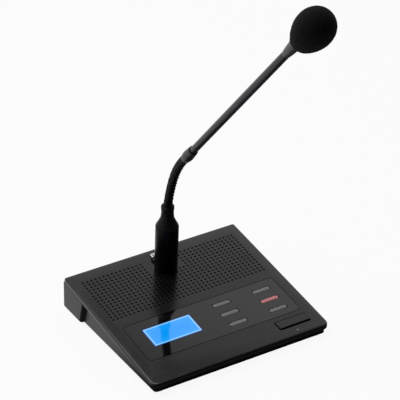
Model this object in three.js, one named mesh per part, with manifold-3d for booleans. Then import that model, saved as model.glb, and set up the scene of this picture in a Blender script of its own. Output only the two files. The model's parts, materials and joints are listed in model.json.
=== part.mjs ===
// Conference delegate unit: a low wedge-shaped desk housing with a perforated top, a gloss
// front panel with a backlit display and six keys, a hinged talk key, and a gooseneck
// microphone whose plug stands in a latching socket. Millimetres, +Z up, -Y towards the user.

import * as THREE from 'three';
import { mergeGeometries, mergeVertices } from 'three/addons/utils/BufferGeometryUtils.js';
import Module from 'manifold-3d';

const wasm = await Module();
wasm.setup();

// Housing. Depths are measured square to the sloping top, whose centre is its origin.
const SLOPE = THREE.MathUtils.degToRad(7.7);
const COVER_WIDTH = 171.6;
const COVER_LENGTH = 161;
const FRONT_CORNER = 7;
const REAR_CORNER = 4;
const COVER_WALL = 1.6;
const COVER_TOP = 2;
const COVER_EDGE = 2;
const SKIRT_DEPTH = 4.2;

// Lower case. Its bottom is level with the desk, this far below the centre of the top.
const BOTTOM_LEVEL = -19;
const FLOOR_THICKNESS = 2;
const CASE_WIDTH = 165.4;
const CASE_FRONT_Y = -78.2;
const CASE_REAR_Y = 76.1;
const CASE_WALL = 2;
const BLOCK_TOP_Y = 44.9;
const BLOCK_FOOT_Y = 49.7;
const BLOCK_DEPTH = 26;
const REAR_OPENING = 157;
const FOOT_HEIGHT = 3;
const FOOT_RADIUS = 5.6;
const FOOT_DESK_RADIUS = 5;
const FOOT_X = 75.5;
const FOOT_FRONT_Y = -69.6;
const FOOT_REAR_Y = 70;
const GAP = 0.3;
const BEYOND = 120;

// Four screws hold the cover from below, each through a boss of the case into a pillar.
const SCREW_SITES = {
  front_left: [-36, -64],
  front_right: [36, -64],
  rear_left: [-70, 56],
  rear_right: [70, 56],
};
const SCREW_HEAD = { radius: 3.1, height: 1.8 };
const SCREW_SHANK_RADIUS = 1.4;
const SCREW_BITE = 3;
const BOSS_RADIUS = 4.8;
const BOSS_SHELF = 1.8;
const COUNTERBORE_RADIUS = 3.6;
const CLEARANCE_RADIUS = 1.9;
const PILLAR_RADIUS = 3.4;
const PILOT_RADIUS = 1.8;

// Front panel, display and keys.
const PANEL_WIDTH = 147;
const PANEL_LENGTH = 48.4;
const PANEL_CENTRE = [0.6, -27.3];
const PANEL_CORNER = 3.5;
const PANEL_THICKNESS = 1;
const PANEL_LEDGE = 3;
const DISPLAY_WIDTH = 45.4;
const DISPLAY_LENGTH = 23.5;
const DISPLAY_CENTRE = [-37, -25.2];
const KEY_WIDTH = 17;
const KEY_LENGTH = 4.4;
const KEY_COLUMNS = [17.7, 57.4];
const KEY_ROWS = [-14, -28, -42];
const RED_KEY_INDEX = 3;
const DOME_RADIUS = 3.5;

// Talk key: a flap hinged along its rear edge, resting five degrees open.
const TALK_WIDTH = 29.4;
const TALK_LENGTH = 10.05;
const TALK_CENTRE_X = 59.25;
const TALK_REAR_Y = -57.35;
const TALK_HINGE = [-58.1, -2.9];
const TALK_LIFT = THREE.MathUtils.degToRad(5);
const TALK_SWITCH_SETBACK = 6;

// Microphone socket and plug, on one axis square to the top.
const SOCKET_Y = 52;
const SOCKET_BORE = 9.8;
const SOCKET_DEPTH = 21.5;
const PLUG_RADIUS = 10;
const PLUG_SHELL_RADIUS = 9.4;
const PLUG_SHELL_BORE = 8.1;
const PLUG_INSERTED = 17;
const PLUG_BODY_TOP = 45.5;
const BOOT_TOP = 66.5;
const BOOT_NECK_RADIUS = 5.4;
const BOOT_RING_RADIUS = 5.6;
const PIN_CIRCLE = 4.2;
const PIN_ANGLES = [210, 330, 90];

// Gooseneck: eight ball-jointed links, the bend of each in degrees as the neck stands.
const LINK_LENGTH = 8.3;
const LINK_RADIUS = 3.6;
const LINK_TURNS = 4;
const TURN_DEPTH = 0.25;
const BALL_RADIUS = 2.7;
const CUP_RADIUS = 3;
const CUP_RIM = -0.9;
const BALL_RISE = 1.9;
const BALL_FOOT = Math.sqrt(BALL_RADIUS ** 2 - BALL_RISE ** 2);
const LINK_BENDS = [6.5, 6, 4.4, 3.6, 3.6, 3.5, 3.3, 3.3];
const COLLAR_BEND = 3.4;
const COLLAR_LENGTH = 24.6;
const COLLAR_RADIUS = 4.5;

// Stem and head, measured along the stem from the joint under the collar.
const STEM_RADIUS = 3.1;
const STEM_BORE = 2.4;
const STEM_START = 12;
const STEM_END = 236;
const HEAD_START = 230.5;
const HEAD_LENGTH = 34.5;
const HEAD_RADIUS = 6.2;
const HEAD_BORE = 5.5;
const FOAM_CENTRE = 274.3;
const FOAM_HALF_LENGTH = 26.7;
const FOAM_RADIUS = 13.84;
const FOAM_FULLNESS = 0.366;
const FOAM_SAG = -2.2;

function solidOf(geometry) {
  const bare = geometry.index ? geometry.toNonIndexed() : geometry.clone();
  bare.deleteAttribute('normal');
  bare.deleteAttribute('uv');
  const welded = mergeVertices(bare, 1e-4);
  const corners = welded.index.array;
  const kept = [];
  for (let i = 0; i < corners.length; i += 3) {
    const [a, b, c] = corners.slice(i, i + 3);
    if (a !== b && b !== c && c !== a) kept.push(a, b, c);
  }
  return new wasm.Manifold(new wasm.Mesh({
    numProp: 3,
    vertProperties: new Float32Array(welded.attributes.position.array),
    triVerts: new Uint32Array(kept),
  }));
}

function geometryOf(solid) {
  const mesh = solid.getMesh();
  const geometry = new THREE.BufferGeometry();
  geometry.setAttribute('position', new THREE.BufferAttribute(mesh.vertProperties, 3));
  geometry.setIndex(new THREE.BufferAttribute(mesh.triVerts, 1));
  const faceted = geometry.toNonIndexed();
  faceted.computeVertexNormals();
  return faceted;
}

// A rectangle with round corners, whose rear pair may have a radius of their own.
function cornered(xRange, yRange, frontRadius, rearRadius = frontRadius) {
  const quarter = Math.PI / 2;
  const shape = new THREE.Shape();
  shape.absarc(xRange[1] - rearRadius, yRange[1] - rearRadius, rearRadius, 0, quarter);
  shape.absarc(xRange[0] + rearRadius, yRange[1] - rearRadius, rearRadius, quarter, 2 * quarter);
  shape.absarc(xRange[0] + frontRadius, yRange[0] + frontRadius, frontRadius, 2 * quarter, 3 * quarter);
  shape.absarc(xRange[1] - frontRadius, yRange[0] + frontRadius, frontRadius, 3 * quarter, 4 * quarter);
  return shape;
}

function roundedRectangle(width, length, radius, x = 0, y = 0) {
  return cornered([x - width / 2, x + width / 2], [y - length / 2, y + length / 2], radius);
}

function disc(radius, x = 0, y = 0) {
  const shape = new THREE.Shape();
  shape.absarc(x, y, radius, 0, 2 * Math.PI);
  return shape;
}

// An outline drawn upwards from one height to another.
function prism(outline, from, to, curveSegments = 3) {
  const depth = to - from;
  const geometry = new THREE.ExtrudeGeometry(outline, { depth, bevelEnabled: false, curveSegments });
  geometry.translate(0, 0, from);
  return solidOf(geometry);
}

// The same with its upper and lower edges eased inside the outline.
function softPrism(outline, from, to, round, curveSegments = 3, bevelSegments = 1) {
  const geometry = new THREE.ExtrudeGeometry(outline, {
    depth: to - from - 2 * round,
    bevelThickness: round,
    bevelSize: round,
    bevelOffset: -round,
    bevelSegments,
    curveSegments,
  });
  geometry.translate(0, 0, from + round);
  return solidOf(geometry);
}

// A profile of [radius, height] pairs turned about the z axis.
function turned(profile, sides) {
  const points = profile.map(([radius, height]) => new THREE.Vector2(radius, height));
  const geometry = new THREE.LatheGeometry(points, sides);
  geometry.rotateX(Math.PI / 2);
  return solidOf(geometry);
}

// Profile points on an arc about [0, height], angles in degrees up from the horizontal.
function arcPoints(radius, height, from, to, steps) {
  const points = [];
  for (let i = 0; i <= steps; i += 1) {
    const angle = THREE.MathUtils.degToRad(from + (to - from) * i / steps);
    points.push([Math.max(0, radius * Math.cos(angle)), height + radius * Math.sin(angle)]);
  }
  return points;
}

function box(xRange, yRange, zRange) {
  const geometry = new THREE.BoxGeometry(xRange[1] - xRange[0], yRange[1] - yRange[0], zRange[1] - zRange[0]);
  geometry.translate((xRange[0] + xRange[1]) / 2, (yRange[0] + yRange[1]) / 2, (zRange[0] + zRange[1]) / 2);
  return solidOf(geometry);
}

function rod(radius, from, to, sides) {
  return turned([[0, from], [radius, from], [radius, to], [0, to]], sides);
}

// Turns a solid built level with the desk into the frame of the sloping top.
function levelled(solid) {
  return solid.rotate([-THREE.MathUtils.radToDeg(SLOPE), 0, 0]);
}

function cut(solid, tools) {
  return tools.reduce((rest, tool) => rest.subtract(tool), solid);
}

function join(solids) {
  return solids.reduce((sum, solid) => sum.add(solid));
}

function piece(parent, name, solid, color, roughness, metalness = 0) {
  const material = new THREE.MeshStandardMaterial({ color, roughness, metalness });
  const mesh = new THREE.Mesh(geometryOf(solid), material);
  mesh.name = name;
  parent.add(mesh);
  return mesh;
}

const unit = new THREE.Group();
const housing = new THREE.Group();
housing.rotation.x = SLOPE;
unit.add(housing);
const level = new THREE.Group();
level.rotation.x = -SLOPE;
housing.add(level);

// Everything under the given level, as a tool that trims walls flush with the desk side.
function under(height) {
  return levelled(box([-BEYOND, BEYOND], [-BEYOND, BEYOND], [height - BEYOND, height]));
}

// Bosses of the lower case reach up to short pillars under the cover. The wedge leaves the
// front bosses low, and the rear ones are counterbored deep for the same short screws.
function bossTop([, y]) {
  return y < 0 ? BOTTOM_LEVEL + FLOOR_THICKNESS + 2 : 2;
}

function screwSeat(site) {
  return bossTop(site) - BOSS_SHELF;
}

function screwTip(site) {
  return bossTop(site) + SCREW_BITE;
}

function screwPillar(site) {
  const [x, y] = site;
  const pillar = rod(PILLAR_RADIUS, bossTop(site) + GAP, 16, 8).translate([x, y, 0]);
  const pilot = rod(PILOT_RADIUS, bossTop(site) - 1, screwTip(site) + 0.4, 6).translate([x, y, 0]);
  const aboveTop = box([x - 9, x + 9], [y - 9, y + 9], [-COVER_TOP + 0.01, BEYOND]);
  return cut(levelled(pillar), [aboveTop, levelled(pilot)]);
}

// Top cover: a pressed tray with a rolled edge and a shallow skirt all round.
function coverOutline(inset) {
  const x = COVER_WIDTH / 2 - inset;
  const y = COVER_LENGTH / 2 - inset;
  return cornered([-x, x], [-y, y], FRONT_CORNER - inset, REAR_CORNER - inset);
}

function coverSolid() {
  const shell = softPrism(coverOutline(0), -SKIRT_DEPTH - 4, 0, COVER_EDGE, 4, 2);
  const cavity = prism(coverOutline(COVER_WALL), -SKIRT_DEPTH - 6, -COVER_TOP, 4);
  return cut(shell, [cavity, box([-BEYOND, BEYOND], [-BEYOND, BEYOND], [-20, -SKIRT_DEPTH])]);
}

function panelOutline(grow) {
  const size = [PANEL_WIDTH + 2 * grow, PANEL_LENGTH + 2 * grow];
  return roundedRectangle(...size, PANEL_CORNER + grow, ...PANEL_CENTRE);
}

function talkOpening() {
  const rear = TALK_REAR_Y + 0.55;
  const front = TALK_REAR_Y - TALK_LENGTH - 0.5;
  return roundedRectangle(TALK_WIDTH + 1, rear - front, 1.2, TALK_CENTRE_X, (rear + front) / 2);
}

// Two bearing blocks under the cover carry the talk key's trunnions.
function talkBearings() {
  const reach = TALK_WIDTH / 2 + 1;
  const sides = [[-reach - 2.2, -reach + 0.1], [reach - 0.1, reach + 2.2]];
  const blocks = sides.map(([from, to]) => box(
    [TALK_CENTRE_X + from, TALK_CENTRE_X + to],
    [TALK_HINGE[0] - 2, TALK_HINGE[0] + 2],
    [TALK_HINGE[1] - 1.9, -COVER_TOP + 0.01]));
  return join(blocks);
}

function talkBore() {
  const bore = rod(1, -24, 24, 8).rotate([0, 90, 0]);
  return bore.translate([TALK_CENTRE_X, ...TALK_HINGE]);
}

// Perforations: a grid of small holes, left out round the latch and the microphone socket.
// There are hundreds, so each has three sides and the open area of a round 1.7 mm hole.
const HOLE_PITCH = [4.03, 4];
const HOLE_RADIUS = 1.32;
const HOLE_HALF_COLUMNS = 19;
const HOLE_ROWS = 15;
const HOLE_REAR_Y = 65.5;
const BARE_AREA = { x: 16, y: 47, socketRadius: 10.6 };

function perforations() {
  const holes = [];
  for (let row = 0; row < HOLE_ROWS; row += 1) {
    const y = HOLE_REAR_Y - row * HOLE_PITCH[1];
    for (let column = -HOLE_HALF_COLUMNS; column < HOLE_HALF_COLUMNS; column += 1) {
      const x = (column + 0.5) * HOLE_PITCH[0];
      const isByLatch = Math.abs(x) < BARE_AREA.x && y > BARE_AREA.y;
      if (isByLatch || Math.hypot(x, y - SOCKET_Y) < BARE_AREA.socketRadius) continue;
      const hole = new THREE.CylinderGeometry(HOLE_RADIUS, HOLE_RADIUS, 3 * COVER_TOP, 3);
      hole.rotateX(Math.PI / 2);
      hole.translate(x, y, -COVER_TOP / 2);
      holes.push(hole);
    }
  }
  return solidOf(mergeGeometries(holes));
}

const LAMP = [57.3, -74];
const LATCH_CAP = { x: [-6.5, 6.5], y: [62.3, 68], top: 2.8 };
const LATCH_BLADE = { x: [-4.6, 4.6], y: [68 + GAP, 73.6], top: 1.6 };

function grown(range, by) {
  return [range[0] - by, range[1] + by];
}

function topCover() {
  const openings = [
    prism(panelOutline(0.4), -PANEL_THICKNESS - 0.05, 5, 3),
    prism(panelOutline(-PANEL_LEDGE), -10, 5, 3),
    prism(talkOpening(), -10, 5, 2),
    prism(disc(1.3, ...LAMP), -10, 5, 8),
    prism(disc(SOCKET_BORE + 0.25, 0, SOCKET_Y), -10, 5, 16),
    box(grown(LATCH_CAP.x, 0.4), [SOCKET_Y, LATCH_CAP.y[1] + 0.4], [-10, 5]),
    box(grown(LATCH_BLADE.x, 0.4), grown(LATCH_BLADE.y, 0.4), [-10, 5]),
    perforations(),
  ];
  const shell = cut(coverSolid(), openings);
  const pillars = Object.values(SCREW_SITES).map(screwPillar);
  return join([shell, talkBearings(), ...pillars]).subtract(talkBore());
}

piece(housing, 'top_cover', topCover(), 0x1c1c1e, 0.5, 0.3);

// Lower case: a moulded tray with screw bosses, board posts, ribs and foot recesses.
function trayOutline(inset) {
  const width = CASE_WIDTH - 2 * inset;
  const front = CASE_FRONT_Y + inset;
  const radius = 3.2 - inset / 2;
  return roundedRectangle(width, CASE_REAR_Y - front, radius, 0, (CASE_REAR_Y + front) / 2);
}

function screwBoss(site) {
  const top = bossTop(site);
  const boss = rod(BOSS_RADIUS, BOTTOM_LEVEL + 0.5, top, 8).translate([...site, 0]);
  const counterbore = rod(COUNTERBORE_RADIUS, BOTTOM_LEVEL - 2, screwSeat(site), 8).translate([...site, 0]);
  const clearance = rod(CLEARANCE_RADIUS, BOTTOM_LEVEL, top + 1, 6).translate([...site, 0]);
  return { boss: levelled(boss), bore: levelled(join([counterbore, clearance])) };
}

// At the rear the case widens into a block flush with the cover. Its front edge is slanted.
function rearBlock() {
  const stepOutline = new THREE.Shape([
    new THREE.Vector2(-BEYOND, 0),
    new THREE.Vector2(-BEYOND, -BLOCK_DEPTH - 20),
    new THREE.Vector2(BLOCK_FOOT_Y, -BLOCK_DEPTH - 20),
    new THREE.Vector2(BLOCK_FOOT_Y, -BLOCK_DEPTH),
    new THREE.Vector2(BLOCK_TOP_Y, -SKIRT_DEPTH),
    new THREE.Vector2(BLOCK_TOP_Y, 0),
  ]);
  const step = prism(stepOutline, -BEYOND, BEYOND).rotate([90, 0, 90]);
  return prism(coverOutline(0), -45, -SKIRT_DEPTH - GAP, 4).subtract(step);
}

const REAR_PANEL = { half: 81, front: CASE_REAR_Y + GAP, rear: CASE_REAR_Y + GAP + 1.5 };
const BOARD = { x: [-60, -16], y: [31, 74], z: [-21.1, -19.5] };
const BOARD_POSTS = [[-56, 36], [-20, 36], [-56, 70], [-20, 70]];
const POST_RADIUS = 2.5;
const RIB_ROWS = [-10, 8];
const RIB = { thickness: 1.6, height: 1.5 };
const FEET = {
  foot_front_left: [-FOOT_X, FOOT_FRONT_Y],
  foot_front_right: [FOOT_X, FOOT_FRONT_Y],
  foot_rear_left: [-FOOT_X, FOOT_REAR_Y],
  foot_rear_right: [FOOT_X, FOOT_REAR_Y],
};

function floorRib(y) {
  const floor = BOTTOM_LEVEL + FLOOR_THICKNESS;
  const half = CASE_WIDTH / 2 - CASE_WALL / 2;
  const thickness = RIB.thickness / 2;
  return levelled(box([-half, half], [y - thickness, y + thickness], [floor - 1, floor + RIB.height]));
}

// Hollows of the case: the tray, the wider block behind it, the rear panel's slot and the mouth.
function caseHollows() {
  const ceiling = -SKIRT_DEPTH - GAP - CASE_WALL;
  const blockHalf = COVER_WIDTH / 2 - CASE_WALL;
  const slotHalf = REAR_PANEL.half + GAP;
  return [
    prism(trayOutline(CASE_WALL), -60, 5),
    box([-blockHalf, blockHalf], [BLOCK_FOOT_Y + 3, COVER_LENGTH / 2 - CASE_WALL], [-60, ceiling]),
    box([-slotHalf, slotHalf], [60, REAR_PANEL.rear + GAP], [-60, 5]),
    box([-REAR_OPENING / 2, REAR_OPENING / 2], [60, 90], [-60, 5]),
  ].map((hollow) => hollow.subtract(under(BOTTOM_LEVEL + FLOOR_THICKNESS)));
}

function lowerCase() {
  const outer = prism(trayOutline(0), -45, -COVER_TOP - GAP).add(rearBlock());
  const tray = cut(outer, [...caseHollows(), under(BOTTOM_LEVEL)]);
  const bosses = Object.values(SCREW_SITES).map(screwBoss);
  const posts = BOARD_POSTS.map(([x, y]) => rod(POST_RADIUS, -30, BOARD.z[0] - GAP, 6).translate([x, y, 0])
    .subtract(under(BOTTOM_LEVEL + 1)));
  const ribs = RIB_ROWS.map(floorRib);
  const recesses = Object.values(FEET).map(([x, y]) => levelled(
    rod(FOOT_RADIUS + GAP, BOTTOM_LEVEL - 2, BOTTOM_LEVEL + 0.5, 8).translate([x, y, 0])));
  const moulded = join([tray, ...bosses.map(({ boss }) => boss), ...posts, ...ribs]);
  return cut(moulded, [...bosses.map(({ bore }) => bore), ...recesses]);
}

piece(housing, 'lower_case', lowerCase(), 0x232325, 0.6);

// A foot widens upwards from the desk into its shallow recess.
function footSolid() {
  const desk = BOTTOM_LEVEL - FOOT_HEIGHT;
  const top = BOTTOM_LEVEL + 0.5 - GAP;
  const edge = 0.5;
  return turned([[0, desk], [FOOT_DESK_RADIUS - edge, desk], [FOOT_DESK_RADIUS, desk + edge],
    [FOOT_RADIUS, top], [0, top]], 8);
}

for (const [name, [x, y]] of Object.entries(FEET)) {
  piece(level, name, footSolid(), 0x101010, 0.9).position.set(x, y, 0);
}

for (const [site, position] of Object.entries(SCREW_SITES)) {
  const seat = screwSeat(position) - GAP;
  const grip = screwTip(position);
  const crown = seat - SCREW_HEAD.height;
  const screw = turned([
    [0, crown], [SCREW_HEAD.radius - 0.5, crown], [SCREW_HEAD.radius, crown + 0.6], [SCREW_HEAD.radius, seat],
    [SCREW_SHANK_RADIUS, seat], [SCREW_SHANK_RADIUS, grip - 1], [0, grip]], 6);
  piece(level, `case_screw_${site}`, screw, 0x3a3a3c, 0.35, 0.9).position.set(...position, 0);
}

// Rear panel: a plate slid down behind the block's corners, with a window for each line socket.
const LINE_SOCKETS = { line_socket_in: -50, line_socket_out: -28 };
const LINE_SOCKET = {
  width: 15.8,
  height: 13.2,
  bottom: BOARD.z[1] + GAP,
  front: 57.5,
  mouth: REAR_PANEL.rear,
};
const LINE_CAVITY = { width: 11.8, height: 8.6, depth: 14, lift: 2.2 };
const LINE_KEYWAY = { half: 3, drop: 1.4, setback: 6 };

function rearPanel() {
  const plate = box(
    [-REAR_PANEL.half, REAR_PANEL.half],
    [REAR_PANEL.front, REAR_PANEL.rear],
    [-60, -COVER_TOP - GAP]);
  const windows = Object.values(LINE_SOCKETS).map((x) => box(
    [x - LINE_SOCKET.width / 2 - 0.4, x + LINE_SOCKET.width / 2 + 0.4],
    [70, 90],
    [LINE_SOCKET.bottom - 0.4, LINE_SOCKET.bottom + LINE_SOCKET.height + 0.4]));
  return cut(plate, [...windows, under(BOTTOM_LEVEL + FLOOR_THICKNESS + GAP)]);
}

piece(housing, 'rear_panel', rearPanel(), 0x1a1a1c, 0.6);

function lineSocket(x) {
  const half = LINE_SOCKET.width / 2;
  const top = LINE_SOCKET.bottom + LINE_SOCKET.height;
  const floor = LINE_SOCKET.bottom + LINE_CAVITY.lift;
  const shell = box([x - half, x + half], [LINE_SOCKET.front, LINE_SOCKET.mouth], [LINE_SOCKET.bottom, top]);
  const back = LINE_SOCKET.mouth - LINE_CAVITY.depth;
  const cavityHalf = LINE_CAVITY.width / 2;
  const cavity = box([x - cavityHalf, x + cavityHalf], [back, 90], [floor, floor + LINE_CAVITY.height]);
  const keyway = box(
    [x - LINE_KEYWAY.half, x + LINE_KEYWAY.half],
    [back + LINE_KEYWAY.setback, 90],
    [floor - LINE_KEYWAY.drop, floor + 1]);
  return cut(shell, [cavity, keyway]);
}

for (const [name, x] of Object.entries(LINE_SOCKETS)) {
  piece(housing, name, lineSocket(x), 0x2b2b2e, 0.5);
}

piece(housing, 'main_board', box(BOARD.x, BOARD.y, BOARD.z), 0x1d4a33, 0.5);

// Front panel with its display window and the openings of the six keys.
const keySites = KEY_ROWS.flatMap((y) => KEY_COLUMNS.map((x) => [x, y]));

function frontPanel() {
  const plate = prism(panelOutline(0), -PANEL_THICKNESS + 0.25, 0, 3);
  const window = prism(
    roundedRectangle(DISPLAY_WIDTH + 2 * GAP, DISPLAY_LENGTH + 2 * GAP, 0.8, ...DISPLAY_CENTRE), -5, 5, 1);
  const keyways = keySites.map(([x, y]) => prism(
    roundedRectangle(KEY_WIDTH + 2 * GAP, KEY_LENGTH + 2 * GAP, 1, x, y), -5, 5, 1));
  return cut(plate, [window, ...keyways]);
}

piece(housing, 'front_panel', frontPanel(), 0x08080a, 0.08);

const windowOutline = roundedRectangle(DISPLAY_WIDTH, DISPLAY_LENGTH, 0.5, ...DISPLAY_CENTRE);
piece(housing, 'display_window', prism(windowOutline, -PANEL_THICKNESS, 0, 1), 0x0a84ff, 0.06);
const glassOutline = roundedRectangle(DISPLAY_WIDTH + 3, DISPLAY_LENGTH + 3, 0.5, ...DISPLAY_CENTRE);
piece(housing, 'display_glass', prism(glassOutline, -2.4, -PANEL_THICKNESS - GAP, 1), 0x1277d6, 0.1);
const lightOutline = roundedRectangle(DISPLAY_WIDTH + 4, DISPLAY_LENGTH + 4, 1, ...DISPLAY_CENTRE);
piece(housing, 'display_backlight', prism(lightOutline, -4.7, -2.4 - GAP, 1), 0xe8eef5, 0.4);

const keyBoard = prism(roundedRectangle(134, 38, 1.5, ...PANEL_CENTRE), -6.2, -5, 1);
piece(housing, 'key_board', keyBoard, 0x1d4a33, 0.5);

// Snap domes for the six keys are formed in one sheet of spring film.
function domeSheet() {
  const [left, right] = KEY_COLUMNS;
  const sheet = prism(roundedRectangle(right - left + 14, 38, 1, (left + right) / 2, -28), -4.7, -4.4, 1);
  const domes = keySites.map(([x, y]) => turned([
    [0, -4.5], [DOME_RADIUS, -4.5], [DOME_RADIUS * 0.6, -3.6], [0, -3.4]], 6)
    .translate([x, y, 0]));
  return join([sheet, ...domes]);
}

piece(housing, 'key_dome_sheet', domeSheet(), 0xb9bcc0, 0.35, 0.6);

// A key is a cap flush with the panel, a retaining flange behind it and a plunger.
function keySolid() {
  const cap = prism(roundedRectangle(KEY_WIDTH, KEY_LENGTH, 0.9), -PANEL_THICKNESS - 0.6, 0, 1);
  const flange = prism(roundedRectangle(KEY_WIDTH + 2, KEY_LENGTH + 2, 1.2), -2.1, -PANEL_THICKNESS - GAP, 1);
  const plunger = rod(1.5, -2.95, -2, 6);
  return join([cap, flange, plunger]);
}

keySites.forEach(([x, y], index) => {
  const isRed = index === RED_KEY_INDEX;
  const key = piece(housing, `key_${index + 1}`, keySolid(), isRed ? 0xb0484c : 0x6c6c70, 0.3);
  key.position.set(x, y, 0);
});

// Talk key: a flap with a rear rib, two trunnions and a tongue over its switch.
function talkKey() {
  const centreY = TALK_REAR_Y - TALK_LENGTH / 2;
  const flap = softPrism(roundedRectangle(TALK_WIDTH, TALK_LENGTH, 1, 0, centreY), -1.5, 0, 0.25, 2);
  const half = TALK_WIDTH / 2;
  const rib = box([1 - half, half - 1], [TALK_HINGE[0] - 0.6, TALK_HINGE[0] + 0.6], [-3.5, -1]);
  const trunnions = rod(0.7, -half - 2.8, half + 2.8, 8).rotate([0, 90, 0])
    .translate([0, ...TALK_HINGE]);
  const tongue = rod(1.6, -2.2, -1, 8).translate([0, TALK_HINGE[0] - TALK_SWITCH_SETBACK, 0]);
  const solid = join([flap, rib, trunnions, tongue]).translate([0, -TALK_HINGE[0], -TALK_HINGE[1]]);
  return solid.rotate([-THREE.MathUtils.radToDeg(TALK_LIFT), 0, 0]);
}

piece(housing, 'talk_key', talkKey(), 0x19191b, 0.45).position.set(TALK_CENTRE_X, ...TALK_HINGE);

const switchBody = box([-3, 3], [-3, 3], [-5.4, -3.2]);
const talkSwitch = join([switchBody, rod(1.5, -3.3, -2.6, 8)]);
piece(housing, 'talk_switch', talkSwitch, 0x77797d, 0.4, 0.3)
  .position.set(TALK_CENTRE_X, TALK_HINGE[0] - TALK_SWITCH_SETBACK, 0);
const talkBoard = box([TALK_CENTRE_X - 13, TALK_CENTRE_X + 13], [-70.5, -60.5], [-6.7, -5.7]);
piece(housing, 'talk_board', talkBoard, 0x1d4a33, 0.5);
piece(housing, 'talk_lamp', rod(1, -2.2, 0.1, 10), 0x8f9094, 0.2).position.set(...LAMP, 0);

// Loudspeaker behind the right half of the perforations.
const SPEAKER_SITE = [48, 37];
const basket = turned([
  [25, -3.3], [25, -COVER_TOP - GAP], [22.4, -COVER_TOP - GAP], [22.2, -4.6], [13.4, -11],
  [12.4, -11], [12.4, -12], [14, -12], [23.1, -4.8], [23.3, -3.3], [25, -3.3]], 12);
const cone = turned([[0, -7.6], [7.4, -10.4], [12, -9.2], [21.4, -3.6], [21.2, -3], [12, -8.3], [7.4, -9.4],
  [4, -7.1], [0, -6.6]], 10);
const magnet = turned([[0, -18], [13, -18], [14, -17.2], [14, -12.3], [0, -12.3]], 10);
piece(housing, 'speaker_basket', basket, 0x55585c, 0.5, 0.7).position.set(...SPEAKER_SITE, 0);
piece(housing, 'speaker_cone', cone, 0x202022, 0.9).position.set(...SPEAKER_SITE, 0);
piece(housing, 'speaker_magnet', magnet, 0x3c3c40, 0.4, 0.8).position.set(...SPEAKER_SITE, 0);

// Microphone socket: flange, barrel, insulator with three contact holes, and a release latch.
function socketBody() {
  const flange = prism(roundedRectangle(26, 31, 3), -3.8, -COVER_TOP - GAP, 2);
  const barrel = rod(12, -SOCKET_DEPTH, -3, 12);
  const bore = rod(SOCKET_BORE + 0.2, -SOCKET_DEPTH + 2, 5, 12);
  const latchSlot = box([-7.2, 7.2], [9.5, 20], [-4.2, 5]);
  return cut(join([flange, barrel]), [bore, latchSlot]);
}

const pinSites = PIN_ANGLES.map((degrees) => {
  const angle = THREE.MathUtils.degToRad(degrees);
  return [PIN_CIRCLE * Math.cos(angle), PIN_CIRCLE * Math.sin(angle)];
});

function socketInsert() {
  const core = rod(7.6, -SOCKET_DEPTH + 2 + GAP, -4, 12);
  const contacts = pinSites.map(([x, y]) => rod(1.8, -PLUG_INSERTED - 0.4, 0, 6).translate([x, y, 0]));
  return cut(core, contacts);
}

piece(housing, 'mic_socket_body', socketBody(), 0x2a2a2d, 0.5, 0.5).position.set(0, SOCKET_Y, 0);
piece(housing, 'mic_socket_insert', socketInsert(), 0x141416, 0.6).position.set(0, SOCKET_Y, 0);

function latchButton({ x, y, top }) {
  return softPrism(cornered(x, y, 1.2), -1.9, top, 0.5, 2);
}

// The cap's finger reaches forward through its slot and holds the plug's groove.
const latchFinger = box([-2.2, 2.2], [SOCKET_Y + PLUG_RADIUS + 0.15, LATCH_CAP.y[0] + 1], [-1.5, -0.3]);
piece(housing, 'release_cap', join([latchButton(LATCH_CAP), latchFinger]), 0x202022, 0.4);
piece(housing, 'release_blade', latchButton(LATCH_BLADE), 0xd8dadc, 0.12, 1);

// The microphone: everything that lifts out of the socket together.
const microphone = new THREE.Group();
microphone.position.set(0, SOCKET_Y, 0);
housing.add(microphone);

const plugShell = turned([
  [PLUG_SHELL_BORE, -PLUG_INSERTED], [PLUG_SHELL_RADIUS, -PLUG_INSERTED], [PLUG_SHELL_RADIUS, 0.4],
  [PLUG_RADIUS, 0.8], [PLUG_RADIUS, PLUG_BODY_TOP], [PLUG_SHELL_BORE, PLUG_BODY_TOP],
  [PLUG_SHELL_BORE, -PLUG_INSERTED]], 16);
piece(microphone, 'plug_shell', plugShell, 0x0c0c0e, 0.45, 0.3);

const insertHoles = pinSites.map(([x, y]) => rod(1.7, 0, 9, 6).translate([x, y, 0]));
piece(microphone, 'plug_insert', cut(rod(PLUG_SHELL_BORE - 2 * GAP, 1, 12, 14), insertHoles), 0x141416, 0.6);
pinSites.forEach(([x, y], index) => {
  const pin = turned([[0, -16.5], [1.2, -15.6], [1.2, 8.6], [0, 8.6]], 6);
  piece(microphone, `plug_pin_${index + 1}`, pin, 0xc9b27a, 0.25, 1).position.set(x, y, 0);
});

// Every ball and cup of the neck has this many sides, all in line, so that they turn freely.
const NECK_SIDES = 8;
const NECK_BASE = BOOT_TOP + BALL_RISE;
const ball = arcPoints(BALL_RADIUS, 0, 0, 90, 2);

function onNeck(profile, height) {
  return profile.map(([radius, rise]) => [radius, height + rise]);
}

// The boot closes the plug and narrows to the neck; on its top stands the first ball.
const boot = turned([
  [0, 30], [7.6, 30], [7.6, PLUG_BODY_TOP + GAP], [PLUG_RADIUS, PLUG_BODY_TOP + GAP], [9.4, 47.2],
  [6.2, 54.4], [BOOT_NECK_RADIUS, 59], [BOOT_NECK_RADIUS, 63], [BOOT_RING_RADIUS, 63.8],
  [BOOT_RING_RADIUS, BOOT_TOP - 0.5], [4.9, BOOT_TOP], [0, BOOT_TOP]], 14);
const firstBall = turned([
  [0, BOOT_TOP - 1], [BALL_FOOT, BOOT_TOP - 1], [BALL_FOOT, BOOT_TOP],
  ...onNeck(ball, NECK_BASE)], NECK_SIDES);
piece(microphone, 'plug_boot', join([boot, firstBall]), 0x0e0e10, 0.5, 0.2);

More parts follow.
